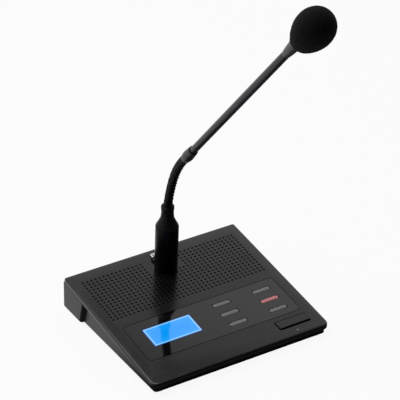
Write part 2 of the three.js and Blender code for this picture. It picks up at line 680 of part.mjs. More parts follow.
// Lower half of every neck piece: a cup round the ball of the piece below.
const cupEdge = THREE.MathUtils.radToDeg(Math.asin(CUP_RIM / CUP_RADIUS));
const cup = arcPoints(CUP_RADIUS, 0, 90, cupEdge, 3);

// The outside of a link: turns of the wound tube, each a shallow ridge.
function woundTurns(from, to) {
  const points = [];
  for (let turn = 0; turn < LINK_TURNS; turn += 1) {
    const foot = from + (to - from) * turn / LINK_TURNS;
    points.push([LINK_RADIUS - TURN_DEPTH, foot], [LINK_RADIUS, foot + (to - from) / LINK_TURNS / 2]);
  }
  return [...points, [LINK_RADIUS - TURN_DEPTH, to]];
}

function linkSolid() {
  const shoulder = LINK_LENGTH - BALL_RISE;
  const profile = [
    ...cup, ...woundTurns(CUP_RIM, shoulder), [BALL_FOOT, shoulder], ...onNeck(ball, LINK_LENGTH)];
  return turned(profile, NECK_SIDES);
}

let joint = new THREE.Group();
joint.position.set(0, 0, NECK_BASE);
microphone.add(joint);
LINK_BENDS.forEach((bend, index) => {
  joint.rotation.x = THREE.MathUtils.degToRad(bend);
  piece(joint, `neck_link_${index + 1}`, linkSolid(), 0x1f1f21, 0.45, 0.4);
  const next = new THREE.Group();
  next.position.set(0, 0, LINK_LENGTH);
  joint.add(next);
  joint = next;
});
joint.rotation.x = THREE.MathUtils.degToRad(COLLAR_BEND);

const stemSeat = STEM_RADIUS + GAP;
const collar = turned([
  ...cup, [LINK_RADIUS - TURN_DEPTH, CUP_RIM], [LINK_RADIUS + 0.1, 2], [COLLAR_RADIUS - 0.15, 9],
  [COLLAR_RADIUS, 14], [COLLAR_RADIUS - 0.2, 20], [COLLAR_RADIUS - 0.4, COLLAR_LENGTH - 0.4],
  [COLLAR_RADIUS - 0.7, COLLAR_LENGTH], [stemSeat, COLLAR_LENGTH], [stemSeat, STEM_START - GAP],
  [0, STEM_START - GAP]], NECK_SIDES);
piece(joint, 'stem_collar', collar, 0x161618, 0.5);

const stem = turned([[STEM_BORE, STEM_START], [STEM_RADIUS, STEM_START], [STEM_RADIUS, STEM_END],
  [STEM_BORE, STEM_END], [STEM_BORE, STEM_START]], 10);
piece(joint, 'stem_tube', stem, 0x202022, 0.35, 0.4);

// Capsule housing: a flared socket on the stem with a front cavity for the capsule.
const headTop = HEAD_START + HEAD_LENGTH;
const headHousing = turned([
  [0, STEM_END + GAP], [stemSeat, STEM_END + GAP], [stemSeat, HEAD_START], [stemSeat + 0.3, HEAD_START],
  [4, HEAD_START + 3], [5.3, HEAD_START + 13], [HEAD_RADIUS, HEAD_START + 25], [HEAD_RADIUS, headTop],
  [HEAD_BORE, headTop], [HEAD_BORE, headTop - 6], [0, headTop - 6]], 12);
piece(joint, 'capsule_housing', headHousing, 0x1c1c1e, 0.4, 0.3);
piece(joint, 'capsule', rod(5, headTop - 5.7, headTop - 1, 10), 0x8a8c90, 0.3, 0.8);

// Foam windscreen: an egg of open-cell foam, fuller at its far end and hanging a little below
// the stem's line. Its blind bore grips the housing.
function foamEgg() {
  const points = [];
  for (let step = 0; step <= 10; step += 1) {
    const angle = Math.PI * step / 10;
    const radius = FOAM_RADIUS * Math.sin(angle) * (1 - FOAM_FULLNESS * Math.cos(angle));
    points.push([Math.max(0, radius), FOAM_CENTRE - FOAM_HALF_LENGTH * Math.cos(angle)]);
  }
  return turned(points, 14).translate([0, FOAM_SAG, 0]);
}

const foamBore = rod(HEAD_RADIUS + GAP, HEAD_START, headTop + GAP, 12);
piece(joint, 'windscreen', foamEgg().subtract(foamBore), 0x121212, 1);

// Stand the feet on the desk and centre the whole unit front to back.
housing.position.z = FOOT_HEIGHT - BOTTOM_LEVEL;
unit.updateMatrixWorld(true);
const reach = new THREE.Box3().setFromObject(unit, true);
housing.position.y = -(reach.min.y + reach.max.y) / 2;

export default unit;
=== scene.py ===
"""A conference delegate unit: the looks of its base, keys, plug, gooseneck microphone and foam."""
import json
import math
import bmesh
import bpy
import numpy as np
from mathutils import Matrix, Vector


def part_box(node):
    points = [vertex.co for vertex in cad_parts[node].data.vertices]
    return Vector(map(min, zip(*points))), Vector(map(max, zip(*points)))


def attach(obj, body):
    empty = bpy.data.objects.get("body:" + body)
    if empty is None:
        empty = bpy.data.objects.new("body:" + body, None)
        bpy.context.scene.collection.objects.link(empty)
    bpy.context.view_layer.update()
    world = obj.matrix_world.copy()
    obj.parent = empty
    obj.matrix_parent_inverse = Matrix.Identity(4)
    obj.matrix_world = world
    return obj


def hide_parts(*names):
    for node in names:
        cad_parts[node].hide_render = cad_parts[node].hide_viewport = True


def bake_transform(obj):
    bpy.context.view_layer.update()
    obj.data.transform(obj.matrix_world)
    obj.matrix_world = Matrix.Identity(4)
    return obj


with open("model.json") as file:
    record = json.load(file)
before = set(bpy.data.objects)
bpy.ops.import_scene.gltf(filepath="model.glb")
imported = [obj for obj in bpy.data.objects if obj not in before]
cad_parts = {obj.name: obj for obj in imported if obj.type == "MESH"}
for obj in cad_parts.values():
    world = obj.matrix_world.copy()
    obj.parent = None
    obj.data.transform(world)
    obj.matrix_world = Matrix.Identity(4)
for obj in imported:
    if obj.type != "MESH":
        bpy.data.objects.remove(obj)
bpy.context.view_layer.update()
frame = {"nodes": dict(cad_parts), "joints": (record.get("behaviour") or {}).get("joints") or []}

# The sloping top is the datum of the whole housing. Its centre is found from the talk key's
# hinge, whose place on it is known in millimetres.
SLOPE = math.radians(7.7)
TALK_HINGE = np.array([59.25, -58.1, -2.9])
joints = {joint["name"]: joint for joint in frame["joints"]}
tilt = np.array([[1, 0, 0], [0, math.cos(SLOPE), math.sin(SLOPE)],
                 [0, -math.sin(SLOPE), math.cos(SLOPE)]])
PLATE = (np.array(joints["talk_press"]["pos_m"]) - TALK_HINGE @ tilt / 1000, tilt)


def placed(points, place):
    """Local millimetres to metres in the frame: the place's origin plus each coordinate times its axis."""
    origin, axes = place
    return origin + np.asarray(points, float) @ axes / 1000


# Camera: fitted to the corners of the base, its rows of holes and the upright plug. It stands
# 1.7 m away to the front left, a little rolled, with a long lens.
CAMERA_FROM_PLATE = np.array([-698.7, -1282.0, 924.7]) / 1000
AZIMUTH, ELEVATION, ROLL = (math.radians(angle) for angle in (-28.874, 29.499, -2.263))
FOCAL_PIXELS, FRAME_PIXELS = 2013, 400
back = np.array([math.sin(AZIMUTH) * math.cos(ELEVATION), -math.cos(AZIMUTH) * math.cos(ELEVATION),
                 math.sin(ELEVATION)])
level_right = np.cross(-back, [0, 0, 1])
level_right /= np.linalg.norm(level_right)
level_up = np.cross(level_right, -back)
right = math.cos(ROLL) * level_right + math.sin(ROLL) * level_up
up = math.cos(ROLL) * level_up - math.sin(ROLL) * level_right
camera_data = bpy.data.cameras.new("camera")
camera_data.sensor_width = 36
camera_data.lens = FOCAL_PIXELS / FRAME_PIXELS * camera_data.sensor_width
camera = bpy.data.objects.new("camera", camera_data)
camera.matrix_world = Matrix.Translation(PLATE[0] + CAMERA_FROM_PLATE) @ Matrix(
    np.stack([right, up, back], axis=1).tolist()).to_4x4()
bpy.context.scene.collection.objects.link(camera)
bpy.context.scene.camera = camera
bpy.context.scene.view_settings.view_transform = "Standard"


# Studio: a white sweep that is bright behind, above and to the left of the unit and dark on
# the camera's side, with two large soft lamps. The floor is pale and takes a faint shadow.
SWEEP_SIDE, SWEEP_EDGES, SWEEP_LEVELS = (-0.25, 0.85, 0.45), (-0.4, 0.6), (0.02, 1.0)
CEILING_SIDE, CEILING_EDGES, CEILING_LEVELS = (-0.3, 0, 1), (0.56, 0.65), (1.0, 0.15)
FLOOR_HALF, FLOOR_SIDE, FLOOR_EDGES = 3.0, (-0.7, 1.0, 0), (0.05, 0.15)
WHITE_TO_CAMERA, WHITE_TO_MIRRORS = 0.92, 0.88
PAPER_LIT, PAPER_IN_MIRRORS = (0.7, 0.7, 0.7, 1), (0.14, 0.14, 0.14, 1)
LAMP_AIM, LAMP_SIZE = (0, 0, 0.05), 1.4


def add(tree, kind, inputs=None, **settings):
    """Adds a node. settings are its properties, inputs its sockets: a value or another node's output each."""
    made = tree.nodes.new(kind)
    for name, value in settings.items():
        setattr(made, name, value)
    for name, value in (inputs or {}).items():
        if isinstance(value, bpy.types.NodeSocket):
            tree.links.new(value, made.inputs[name])
        else:
            made.inputs[name].default_value = value
    return made


def studio():
    """World white to the camera. To other rays the sweep is bright behind and to the left, ends in a dim
    ceiling halfway up and is dark in front. Mirrored and refracted rays meet its white behind the unit."""
    world = bpy.data.worlds.new("studio")
    bpy.context.scene.world = world
    world.use_nodes = True
    tree = world.node_tree
    tree.nodes.clear()
    direction = add(tree, "ShaderNodeTexCoord").outputs["Generated"]
    side = add(tree, "ShaderNodeVectorMath", {0: direction, 1: SWEEP_SIDE}, operation="DOT_PRODUCT")
    level = add(tree, "ShaderNodeMapRange", {
        "Value": side.outputs["Value"], "From Min": SWEEP_EDGES[0], "From Max": SWEEP_EDGES[1],
        "To Min": SWEEP_LEVELS[0], "To Max": SWEEP_LEVELS[1]}, interpolation_type="SMOOTHSTEP")
    height = add(tree, "ShaderNodeVectorMath", {0: direction, 1: CEILING_SIDE}, operation="DOT_PRODUCT")
    ceiling = add(tree, "ShaderNodeMapRange", {
        "Value": height.outputs["Value"], "From Min": CEILING_EDGES[0], "From Max": CEILING_EDGES[1],
        "To Min": CEILING_LEVELS[0], "To Max": CEILING_LEVELS[1]}, interpolation_type="SMOOTHSTEP")
    fade = add(tree, "ShaderNodeMath", {0: level.outputs["Result"], 1: ceiling.outputs["Result"]},
               operation="MULTIPLY")
    path = add(tree, "ShaderNodeLightPath").outputs
    mirrored = add(tree, "ShaderNodeMath", {0: path["Is Glossy Ray"], 1: path["Is Transmission Ray"]},
                   operation="MAXIMUM")
    behind = add(tree, "ShaderNodeMath", {0: mirrored.outputs[0], 1: fade.outputs[0]}, operation="MULTIPLY")
    white_share = add(tree, "ShaderNodeMath", {0: path["Is Camera Ray"], 1: behind.outputs[0]},
                      operation="MAXIMUM")
    sweep = add(tree, "ShaderNodeBackground", {"Color": (1, 1, 1, 1), "Strength": fade.outputs[0]})
    white = add(tree, "ShaderNodeBackground", {"Color": (1, 1, 1, 1), "Strength": 1.0})
    seen = add(tree, "ShaderNodeMixShader", {
        0: white_share.outputs[0], 1: sweep.outputs[0], 2: white.outputs[0]})
    add(tree, "ShaderNodeOutputWorld", {"Surface": seen.outputs[0]})


def lamp(name, place, power):
    """A square soft lamp at a place in metres, turned to face the unit."""
    data = bpy.data.lights.new(name, "AREA")
    data.size = LAMP_SIZE
    data.energy = power
    made = bpy.data.objects.new(name, data)
    away = np.array(place, float) - np.array(LAMP_AIM, float)
    away /= np.linalg.norm(away)
    across = np.cross([0, 0, 1], away)
    across /= np.linalg.norm(across)
    made.matrix_world = Matrix.Translation(place) @ Matrix(
        np.stack([across, np.cross(away, across), away], axis=1).tolist()).to_4x4()
    bpy.context.scene.collection.objects.link(made)


def floor():
    """A flat square sheet. To the camera a share of its white is its own, so that it shows as the white
    ground with a faint shadow. Mirrors and glass see that white too, behind the unit and not in front,
    where the sweep ends in a dark room."""
    corners = [(x * FLOOR_HALF, y * FLOOR_HALF, 0) for x, y in ((-1, -1), (1, -1), (1, 1), (-1, 1))]
    mesh = bpy.data.meshes.new("floor")
    mesh.from_pydata(corners, [], [(0, 1, 2, 3)])
    material = bpy.data.materials.new("floor paper, pale matt")
    material.use_nodes = True
    tree = material.node_tree
    tree.nodes.clear()
    path = add(tree, "ShaderNodeLightPath").outputs
    mirrored = add(tree, "ShaderNodeMath", {0: path["Is Glossy Ray"], 1: path["Is Transmission Ray"]},
                   operation="MAXIMUM")
    place = add(tree, "ShaderNodeTexCoord").outputs["Object"]
    across = add(tree, "ShaderNodeVectorMath", {0: place, 1: FLOOR_SIDE}, operation="DOT_PRODUCT")
    behind = add(tree, "ShaderNodeMapRange", {
        "Value": across.outputs["Value"], "From Min": FLOOR_EDGES[0], "From Max": FLOOR_EDGES[1],
        "To Min": 0.0, "To Max": WHITE_TO_MIRRORS}, interpolation_type="SMOOTHSTEP")
    backdrop = add(tree, "ShaderNodeMath", {0: mirrored.outputs[0], 1: behind.outputs["Result"]},
                   operation="MULTIPLY")
    direct = add(tree, "ShaderNodeMath", {0: path["Is Camera Ray"], 1: WHITE_TO_CAMERA}, operation="MULTIPLY")
    share = add(tree, "ShaderNodeMath", {0: direct.outputs[0], 1: backdrop.outputs[0]}, operation="MAXIMUM")
    plain = add(tree, "ShaderNodeMath", {0: path["Is Camera Ray"], 1: path["Is Diffuse Ray"]},
                operation="MAXIMUM")
    pale = add(tree, "ShaderNodeMix", {0: plain.outputs[0], 6: PAPER_IN_MIRRORS, 7: PAPER_LIT},
               data_type="RGBA")
    paper = add(tree, "ShaderNodeBsdfDiffuse", {"Color": pale.outputs[2]})
    glow = add(tree, "ShaderNodeEmission", {"Color": (1, 1, 1, 1), "Strength": 1.0})
    seen = add(tree, "ShaderNodeMixShader", {0: share.outputs[0], 1: paper.outputs[0], 2: glow.outputs[0]})
    add(tree, "ShaderNodeOutputMaterial", {"Surface": seen.outputs[0]})
    mesh.materials.append(material)
    made = bpy.data.objects.new("floor", mesh)
    bpy.context.scene.collection.objects.link(made)


studio()
floor()
lamp("lamp_left", (-1.5, 0.9, 1.1), 7)
lamp("lamp_above", (-0.2, 0.5, 1.9), 24)


# Top cover: steel sheet pressed into a shallow tray with a rolled edge, perforated by a
# punch, and sprayed satin black. Its paint mirrors the white studio softly, so the plug's
# dark image lies in it.
COVER_WIDTH, COVER_LENGTH = 171.6, 161.0
FRONT_CORNER, REAR_CORNER = 7.0, 2.4
COVER_TOP, COVER_WALL, COVER_EDGE, SKIRT_DEPTH = 2.0, 1.6, 2.0, 4.2
HOLE_RADIUS, HOLE_COLUMNS, HOLE_ROWS, HOLE_PITCH, REAR_HOLES_Y = 0.92, 38, 15, (4.03, 4.0), 65.5
HOLES_CLEAR_OF_LATCH, HOLES_CLEAR_OF_SOCKET = (16, 47), 10.6
SOCKET_Y, SOCKET_MOUTH = 52.0, 10.05
LAMP, LAMP_HOLE = (57.3, -74.0), 1.25
PANEL = dict(width=147.0, length=48.4, centre=(0.6, -27.3), corner=3.5)
TALK = dict(width=29.4, length=10.05, corner=1.2, centre_x=59.25, rear_y=-57.35)
TALK_SLOT = dict(wider=1.25, longer=1.3, corner=1.5, shift=0.3)
LATCH_CAP = dict(width=13.0, y=(62.3, 68.0))
LATCH_BLADE = dict(width=9.2, y=(68.3, 73.6))
PANEL_GAP, LATCH_GAP = 0.4, 0.4
TOOL_DEPTH, TOOL_TOP = 6, 2


def linear(hex_colour):
    """An sRGB hex colour as linear red, green, blue and alpha."""
    srgb = np.array([int(hex_colour[i:i + 2], 16) for i in (1, 3, 5)]) / 255
    return (*np.where(srgb <= 0.04045, srgb / 12.92, ((srgb + 0.055) / 1.055) ** 2.4), 1.0)


def rounded_outline(width, length, corners, centre=(0, 0), steps=8):
    """A rectangle's four corner arcs: each corner's centre plus its radius times the unit circle's quarter.

    corners is one radius, or a front and a rear one. Returns the arc centres and unit directions, so that
    an inset outline is centre + (radius - inset) * direction, with the centres unmoved.
    """
    front, rear = corners if np.iterable(corners) else (corners, corners)
    radii = np.repeat([rear, rear, front, front], steps + 1)
    signs = np.repeat([[1, 1], [-1, 1], [-1, -1], [1, -1]], steps + 1, axis=0)
    half = np.array([width / 2, length / 2])
    centres = np.array(centre) + signs * (half - radii[:, None])
    angles = np.concatenate([np.linspace(k, k + 1, steps + 1) for k in range(4)]) * math.pi / 2
    return centres, radii, np.stack([np.cos(angles), np.sin(angles)], axis=1)


def circle_outline(radius, centre=(0, 0), sides=48):
    """A circle in the same form: one centre, one radius and the unit circle's directions."""
    angles = np.arange(sides) * 2 * math.pi / sides
    return (np.tile(np.array(centre, float), (sides, 1)), np.full(sides, float(radius)),
            np.stack([np.cos(angles), np.sin(angles)], axis=1))


def carried(outline, profile):
    """A profile of [inset, height] pairs carried round an outline: a grid of points, one row a pair."""
    centres, radii, directions = outline
    profile = np.array(profile, float)
    plan = centres + (radii - profile[:, :1])[:, :, None] * directions
    return np.concatenate([plan, np.broadcast_to(profile[:, 1, None, None], plan.shape[:2] + (1,))], axis=2)


def eased(profile, radius, steps=3):
    """A polyline with its inner corners rounded: each gives way to a quadratic curve between points one
    radius along its two sides, or a third of the side where that is shorter."""
    points = np.array(profile, float)
    result = [points[0]]
    for before, corner, after in zip(points[:-2], points[1:-1], points[2:]):
        lengths = [np.linalg.norm(end - corner) for end in (before, after)]
        start = corner + (before - corner) * min(radius / lengths[0], 1 / 3)
        end = corner + (after - corner) * min(radius / lengths[1], 1 / 3)
        for t in np.linspace(0, 1, steps + 1):
            result.append((1 - t) ** 2 * start + 2 * t * (1 - t) * corner + t ** 2 * end)
    result.append(points[-1])
    return result


def closed_skins(name, grids, place):
    """Closed bodies in one mesh, each from a grid of rings: quads join neighbouring rings, and a flat face
    lies over the first and the last."""
    count, rows, columns = grids.shape[:3]
    index = np.arange(rows * columns).reshape(rows, columns)
    ahead = np.roll(index, -1, axis=1)
    quads = np.stack([index[:-1], ahead[:-1], ahead[1:], index[1:]], axis=-1).reshape(-1, 4)
    shifts = np.arange(count)[:, None] * rows * columns
    faces = (quads + shifts[:, None]).reshape(-1, 4).tolist()
    faces += (index[0][::-1] + shifts).tolist() + (index[-1] + shifts).tolist()
    mesh = bpy.data.meshes.new(name)
    mesh.from_pydata(placed(grids.reshape(-1, 3), place).tolist(), [], faces)
    return tidied(mesh)


def closed_skin(name, grid, place):
    """One closed body from a grid of rings."""
    return closed_skins(name, grid[None], place)


def tidied(mesh):
    """Merges doubled points, turns every face outwards and shades all but the sharp edges smooth."""
    work = bmesh.new()
    work.from_mesh(mesh)
    bmesh.ops.remove_doubles(work, verts=work.verts, dist=1e-7)
    bmesh.ops.dissolve_degenerate(work, edges=work.edges, dist=1e-8)
    bmesh.ops.recalc_face_normals(work, faces=work.faces)
    work.to_mesh(mesh)
    work.free()
    mesh.shade_smooth()
    mesh.set_sharp_from_angle(angle=math.radians(35))
    return mesh


def fitted(name, mesh, material, body, replaced=()):
    """Puts a mesh into the scene as a piece that rides on a body and stands for the given CAD nodes."""
    mesh.materials.clear()
    mesh.materials.append(material)
    made = bpy.data.objects.new(name, mesh)
    bpy.context.scene.collection.objects.link(made)
    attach(made, body)
    if replaced:
        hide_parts(*replaced)
    return made


def sprayed_paint(name, colour, roughness, specular, grain_mm, relief_mm, metallic=0.0):
    """A sprayed or moulded surface: a fine grain lifts it, so that it looks satin, and its gloss drifts a
    little over centimetres, as thickness and handling vary. The colour is even."""
    drift_mm, gloss_swing = 28, 0.035
    material = bpy.data.materials.new(name)
    material.use_nodes = True
    tree = material.node_tree
    tree.nodes.clear()
    place = add(tree, "ShaderNodeTexCoord").outputs["Object"]
    grain = add(tree, "ShaderNodeTexNoise", {"Vector": place, "Scale": 1000 / grain_mm, "Detail": 2.0,
                                             "Roughness": 0.5})
    relief = add(tree, "ShaderNodeBump", {"Height": grain.outputs[0], "Strength": 1.0,
                                          "Distance": relief_mm / 1000})
    drift = add(tree, "ShaderNodeTexNoise", {"Vector": place, "Scale": 1000 / drift_mm, "Detail": 3.0,
                                             "Roughness": 0.6})
    gloss = add(tree, "ShaderNodeMapRange", {
        "Value": drift.outputs[0], "From Min": 0.3, "From Max": 0.7,
        "To Min": roughness - gloss_swing, "To Max": roughness + gloss_swing})
    shader = add(tree, "ShaderNodeBsdfPrincipled", {
        "Base Color": linear(colour), "Roughness": gloss.outputs[0], "Specular IOR Level": specular,
        "Metallic": metallic, "Normal": relief.outputs[0]})
    add(tree, "ShaderNodeOutputMaterial", {"Surface": shader.outputs[0]})
    return material


def hole_sites():
    """Centres of the punched holes: a grid of columns and rows without those by the latch and the socket."""
    x = (np.arange(HOLE_COLUMNS) - (HOLE_COLUMNS - 1) / 2) * HOLE_PITCH[0]
    y = REAR_HOLES_Y - HOLE_PITCH[1] * np.arange(HOLE_ROWS)
    sites = np.stack(np.meshgrid(x, y), axis=-1).reshape(-1, 2)
    by_latch = (abs(sites[:, 0]) < HOLES_CLEAR_OF_LATCH[0]) & (sites[:, 1] > HOLES_CLEAR_OF_LATCH[1])
    by_socket = np.hypot(sites[:, 0], sites[:, 1] - SOCKET_Y) < HOLES_CLEAR_OF_SOCKET
    return sites[~(by_latch | by_socket)]


def punches():
    """The punches for all the holes: one ring profile, a little wider at its top, repeated at each centre."""
    ring = carried(circle_outline(HOLE_RADIUS, sides=12),
                   [[0, -TOOL_DEPTH], [0, -0.22], [-0.16, 0.02], [-0.16, TOOL_TOP]])
    shifts = np.pad(hole_sites(), ((0, 0), (0, 1)))
    return closed_skins("punches", ring + shifts[:, None, None], PLATE)


def cut_away(mesh, *tools):
    """Subtracts each tool mesh from a mesh in turn and returns the mesh that is left."""
    body = bpy.data.objects.new("blank", mesh)
    bpy.context.scene.collection.objects.link(body)
    knives = []
    for tool in tools:
        knife = bpy.data.objects.new("knife", tool)
        bpy.context.scene.collection.objects.link(knife)
        knives.append(knife)
        cut = body.modifiers.new("cut", "BOOLEAN")
        cut.operation = "DIFFERENCE"
        cut.solver = "MANIFOLD"
        cut.object = knife
    result = bpy.data.meshes.new_from_object(body.evaluated_get(bpy.context.evaluated_depsgraph_get()))
    for spent in [body, *knives]:
        bpy.data.objects.remove(spent)
    return result


def straight_tool(outline):
    """A straight tool that cuts an outline right through the sheet."""
    return closed_skin("tool", carried(outline, [[0, -TOOL_DEPTH], [0, TOOL_TOP]]), PLATE)


def latch_tool(sizes, front_y, corner):
    """A straight tool for a button's slot: one gap wider at its sides and rear, from a given front edge."""
    rear_y = sizes["y"][1] + LATCH_GAP
    return straight_tool(rounded_outline(sizes["width"] + 2 * LATCH_GAP, rear_y - front_y, corner,
                                         (0, (front_y + rear_y) / 2)))


rolled = [[COVER_EDGE * (1 - math.sin(a)), -COVER_EDGE * (1 - math.cos(a))]
          for a in np.linspace(0, math.pi / 2, 8)]
cover_blank = closed_skin("cover", carried(
    rounded_outline(COVER_WIDTH, COVER_LENGTH, (FRONT_CORNER, REAR_CORNER), steps=10),
    rolled + [[0, -SKIRT_DEPTH + 0.2], [0.2, -SKIRT_DEPTH], [COVER_WALL - 0.2, -SKIRT_DEPTH],
              [COVER_WALL, -SKIRT_DEPTH + 0.2], [COVER_WALL, -COVER_TOP]]), PLATE)
panel_tool = closed_skin("tool", carried(
    rounded_outline(PANEL["width"] + 2 * PANEL_GAP, PANEL["length"] + 2 * PANEL_GAP,
                    PANEL["corner"] + PANEL_GAP, PANEL["centre"]),
    [[3.4, -TOOL_DEPTH], [3.4, -1.05], [0, -1.05], [0, -0.15], [-0.15, 0.01], [-0.15, TOOL_TOP]]), PLATE)
talk_tool = closed_skin("tool", carried(
    rounded_outline(
        TALK["width"] + TALK_SLOT["wider"], TALK["length"] + TALK_SLOT["longer"], TALK_SLOT["corner"],
        (TALK["centre_x"] - TALK_SLOT["shift"], TALK["rear_y"] - TALK_SLOT["shift"] - TALK["length"] / 2)),
    [[0, -TOOL_DEPTH], [0, -0.2], [-0.2, 0.01], [-0.2, TOOL_TOP]]), PLATE)
lamp_tool = straight_tool(circle_outline(LAMP_HOLE, LAMP, 24))
socket_tool = straight_tool(circle_outline(SOCKET_MOUTH, (0, SOCKET_Y), 64))
cap_tool = latch_tool(LATCH_CAP, SOCKET_Y, 1.2)
blade_tool = latch_tool(LATCH_BLADE, LATCH_BLADE["y"][0] - LATCH_GAP, 1.4)
satin_black = sprayed_paint("satin black paint, sprayed on steel", "#0b0b0c", 0.22, 0.42, 0.5, 0.004)
cover_mesh = cut_away(
    cover_blank, punches(), panel_tool, talk_tool, lamp_tool, socket_tool, cap_tool, blade_tool)
cover = fitted("cover_sheet", tidied(cover_mesh), satin_black, "base", ["top_cover"])


# Lower case, rear panel and feet: black ABS, moulded with a fine sparked grain. The case has
# sharp rear corners and a matt step before its rear block. Rubber feet are pressed into its
# recesses, and four steel screws hold the cover from below.
CASE_CORNER, CASE_LOWERED, TRAY_HALF = 4.0, 1.05, 82.7
STEP_Y, STEP_FORWARD, STEP_ROUND = (44.5, 50.2), 2.0, 2.7
STEP_SLANT, STEP_LINE, STEP_ROUGHNESS = 0.22, 45.0, 0.95


def from_plate(point):
    """A point's millimetres across, along and above the sloping top."""
    return (np.array(point) - PLATE[0]) @ PLATE[1].T * 1000


def squared(point):
    """A point near the case's rear corners, moved out from the corner arc's centre by the ratio between
    the circle and the square round it, so that the arc becomes a corner. The step before the rear block
    moves forward."""
    x, y, height = from_plate(point)
    if STEP_Y[0] < y < STEP_Y[1] and abs(x) > TRAY_HALF - 0.05:
        return placed([x, y - STEP_FORWARD, height], PLATE)
    out = abs(x) - (COVER_WIDTH / 2 - CASE_CORNER)
    back = y - (COVER_LENGTH / 2 - CASE_CORNER)
    if out <= 0 or back <= 0:
        return point
    ratio = math.hypot(out, back) / max(out, back) - 1
    return placed([x + math.copysign(out * ratio, x), y + back * ratio, height], PLATE)


def moved_case(work):
    """Brings the case's lowest face a little lower, squares its rear corners and moves its step."""
    lowest = min(vertex.co.z for vertex in work.verts)
    for vertex in work.verts:
        if vertex.co.z < lowest + 1e-5:
            vertex.co.z -= CASE_LOWERED / 1000
        vertex.co = squared(vertex.co)


def rounded_step(work):
    """Rounds the long outer edges of the step before the rear block."""
    front, rear = (y - STEP_FORWARD for y in STEP_Y)
    outer = [edge for edge in work.edges if edge.calc_length() > 0.01 and all(
        front < from_plate(end.co)[1] < rear and abs(end.co.x) * 1000 > COVER_WIDTH / 2 - 0.1
        for end in edge.verts)]
    bmesh.ops.bevel(work, geom=outer, offset=STEP_ROUND / 1000, segments=5, profile=0.5, affect="EDGES")


def softened(name, node, material, body, radius_mm, moved=None, rounded=None):
    """A copy of a CAD node with its doubled corners merged, its flat faces joined and its edges rounded.
    moved shifts its corners before its faces are joined, and rounded rounds chosen edges more."""
    work = bmesh.new()
    work.from_mesh(frame["nodes"][node].data)
    bmesh.ops.remove_doubles(work, verts=work.verts, dist=1e-6)
    if moved:
        moved(work)
    bmesh.ops.dissolve_limit(work, angle_limit=math.radians(2), verts=work.verts, edges=work.edges)
    if rounded:
        rounded(work)
    mesh = bpy.data.meshes.new(name)
    work.to_mesh(mesh)
    work.free()
    piece = fitted(name, mesh, material, body, [node])
    edge = piece.modifiers.new("edge", "BEVEL")
    edge.width = radius_mm / 1000
    edge.segments = 2
    edge.limit_method = "ANGLE"
    edge.angle_limit = math.radians(32)
    mesh.shade_smooth()
    mesh.set_sharp_from_angle(angle=math.radians(60))
    flat = piece.modifiers.new("flat", "WEIGHTED_NORMAL")
    flat.mode = "FACE_AREA"
    flat.weight = 100
    flat.keep_sharp = True
    return piece


def matt_step(material):
    """Makes the step before the rear block matt: outside the tray's wall and before a slanted line, given
    by one dot product, the roughness rises to that of a blasted surface."""
    tree = material.node_tree
    shader = tree.nodes["Principled BSDF"]
    gloss = shader.inputs["Roughness"].links[0].from_socket
    along_plate = PLATE[1][1] + STEP_SLANT * PLATE[1][2]
    line = PLATE[0] @ along_plate + STEP_LINE / 1000
    place = add(tree, "ShaderNodeTexCoord").outputs["Object"]
    along = add(tree, "ShaderNodeVectorMath", {0: place, 1: tuple(along_plate)}, operation="DOT_PRODUCT")
    before = add(tree, "ShaderNodeMath", {0: along.outputs["Value"], 1: line}, operation="LESS_THAN")
    split = add(tree, "ShaderNodeSeparateXYZ", {"Vector": place})
    across = add(tree, "ShaderNodeMath", {0: split.outputs["X"]}, operation="ABSOLUTE")
    outside = add(tree, "ShaderNodeMath", {0: across.outputs[0], 1: (TRAY_HALF + 0.12) / 1000},
                  operation="GREATER_THAN")
    step = add(tree, "ShaderNodeMath", {0: before.outputs[0], 1: outside.outputs[0]}, operation="MULTIPLY")
    finish = add(tree, "ShaderNodeMix", {0: step.outputs[0], 2: gloss, 3: STEP_ROUGHNESS}, data_type="FLOAT")
    tree.links.new(finish.outputs[0], shader.inputs["Roughness"])


sparked_abs = sprayed_paint("black ABS, moulded with a sparked grain", "#0a0a0b", 0.3, 0.19, 0.7, 0.01)
matt_step(sparked_abs)
softened("case_moulding", "lower_case", sparked_abs, "base", 0.35, moved_case, rounded_step)
softened("rear_plate", "rear_panel", sparked_abs, "base", 0.2)


def turned(name, profile, place, material, body, replaced, sides=48):
    """A [radius, height] profile turned about the place's z axis, with its ends closed by flat faces."""
    profile = np.array(profile, float)
    profile[:, 0] *= -1
    mesh = closed_skin(name, carried(circle_outline(0, sides=sides), profile), place)
    piece = fitted(name, mesh, material, body, replaced)
    return piece


BASE_CORNERS = ("front_left", "front_right", "rear_left", "rear_right")
foot_rubber = sprayed_paint("black rubber, moulded matt", "#101010", 0.75, 0.25, 0.4, 0.02)
for corner in BASE_CORNERS:
    low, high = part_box(f"foot_{corner}")
    middle = (np.array(low) + np.array(high)) / 2
    foot_place = (np.array([middle[0], middle[1], 0]), np.eye(3))
    turned(f"rubber_foot_{corner}", eased([[0.4, 0], [4.5, 0], [5.1, 0.6], [5.5, 3.2], [0.4, 3.2]], 0.4),
           foot_place, foot_rubber, "base", [f"foot_{corner}"], 32)


def plain_stock(name, hex_colour, metallic, roughness):
    """Plain stock of one colour and gloss with a light drawn or moulded grain, for small inner pieces."""
    return sprayed_paint(name, hex_colour, roughness, 0.5, 0.6, 0.004, metallic)


def dress(material, *nodes):
    """Gives CAD nodes that stay as they are their material."""
    for name in nodes:
        mesh = frame["nodes"][name].data
        mesh.materials.clear()
        mesh.materials.append(material)


black_screw = plain_stock("screw steel, blackened", "#3c3c3e", 1.0, 0.35)
dress(black_screw, *[f"case_screw_{corner}" for corner in BASE_CORNERS])


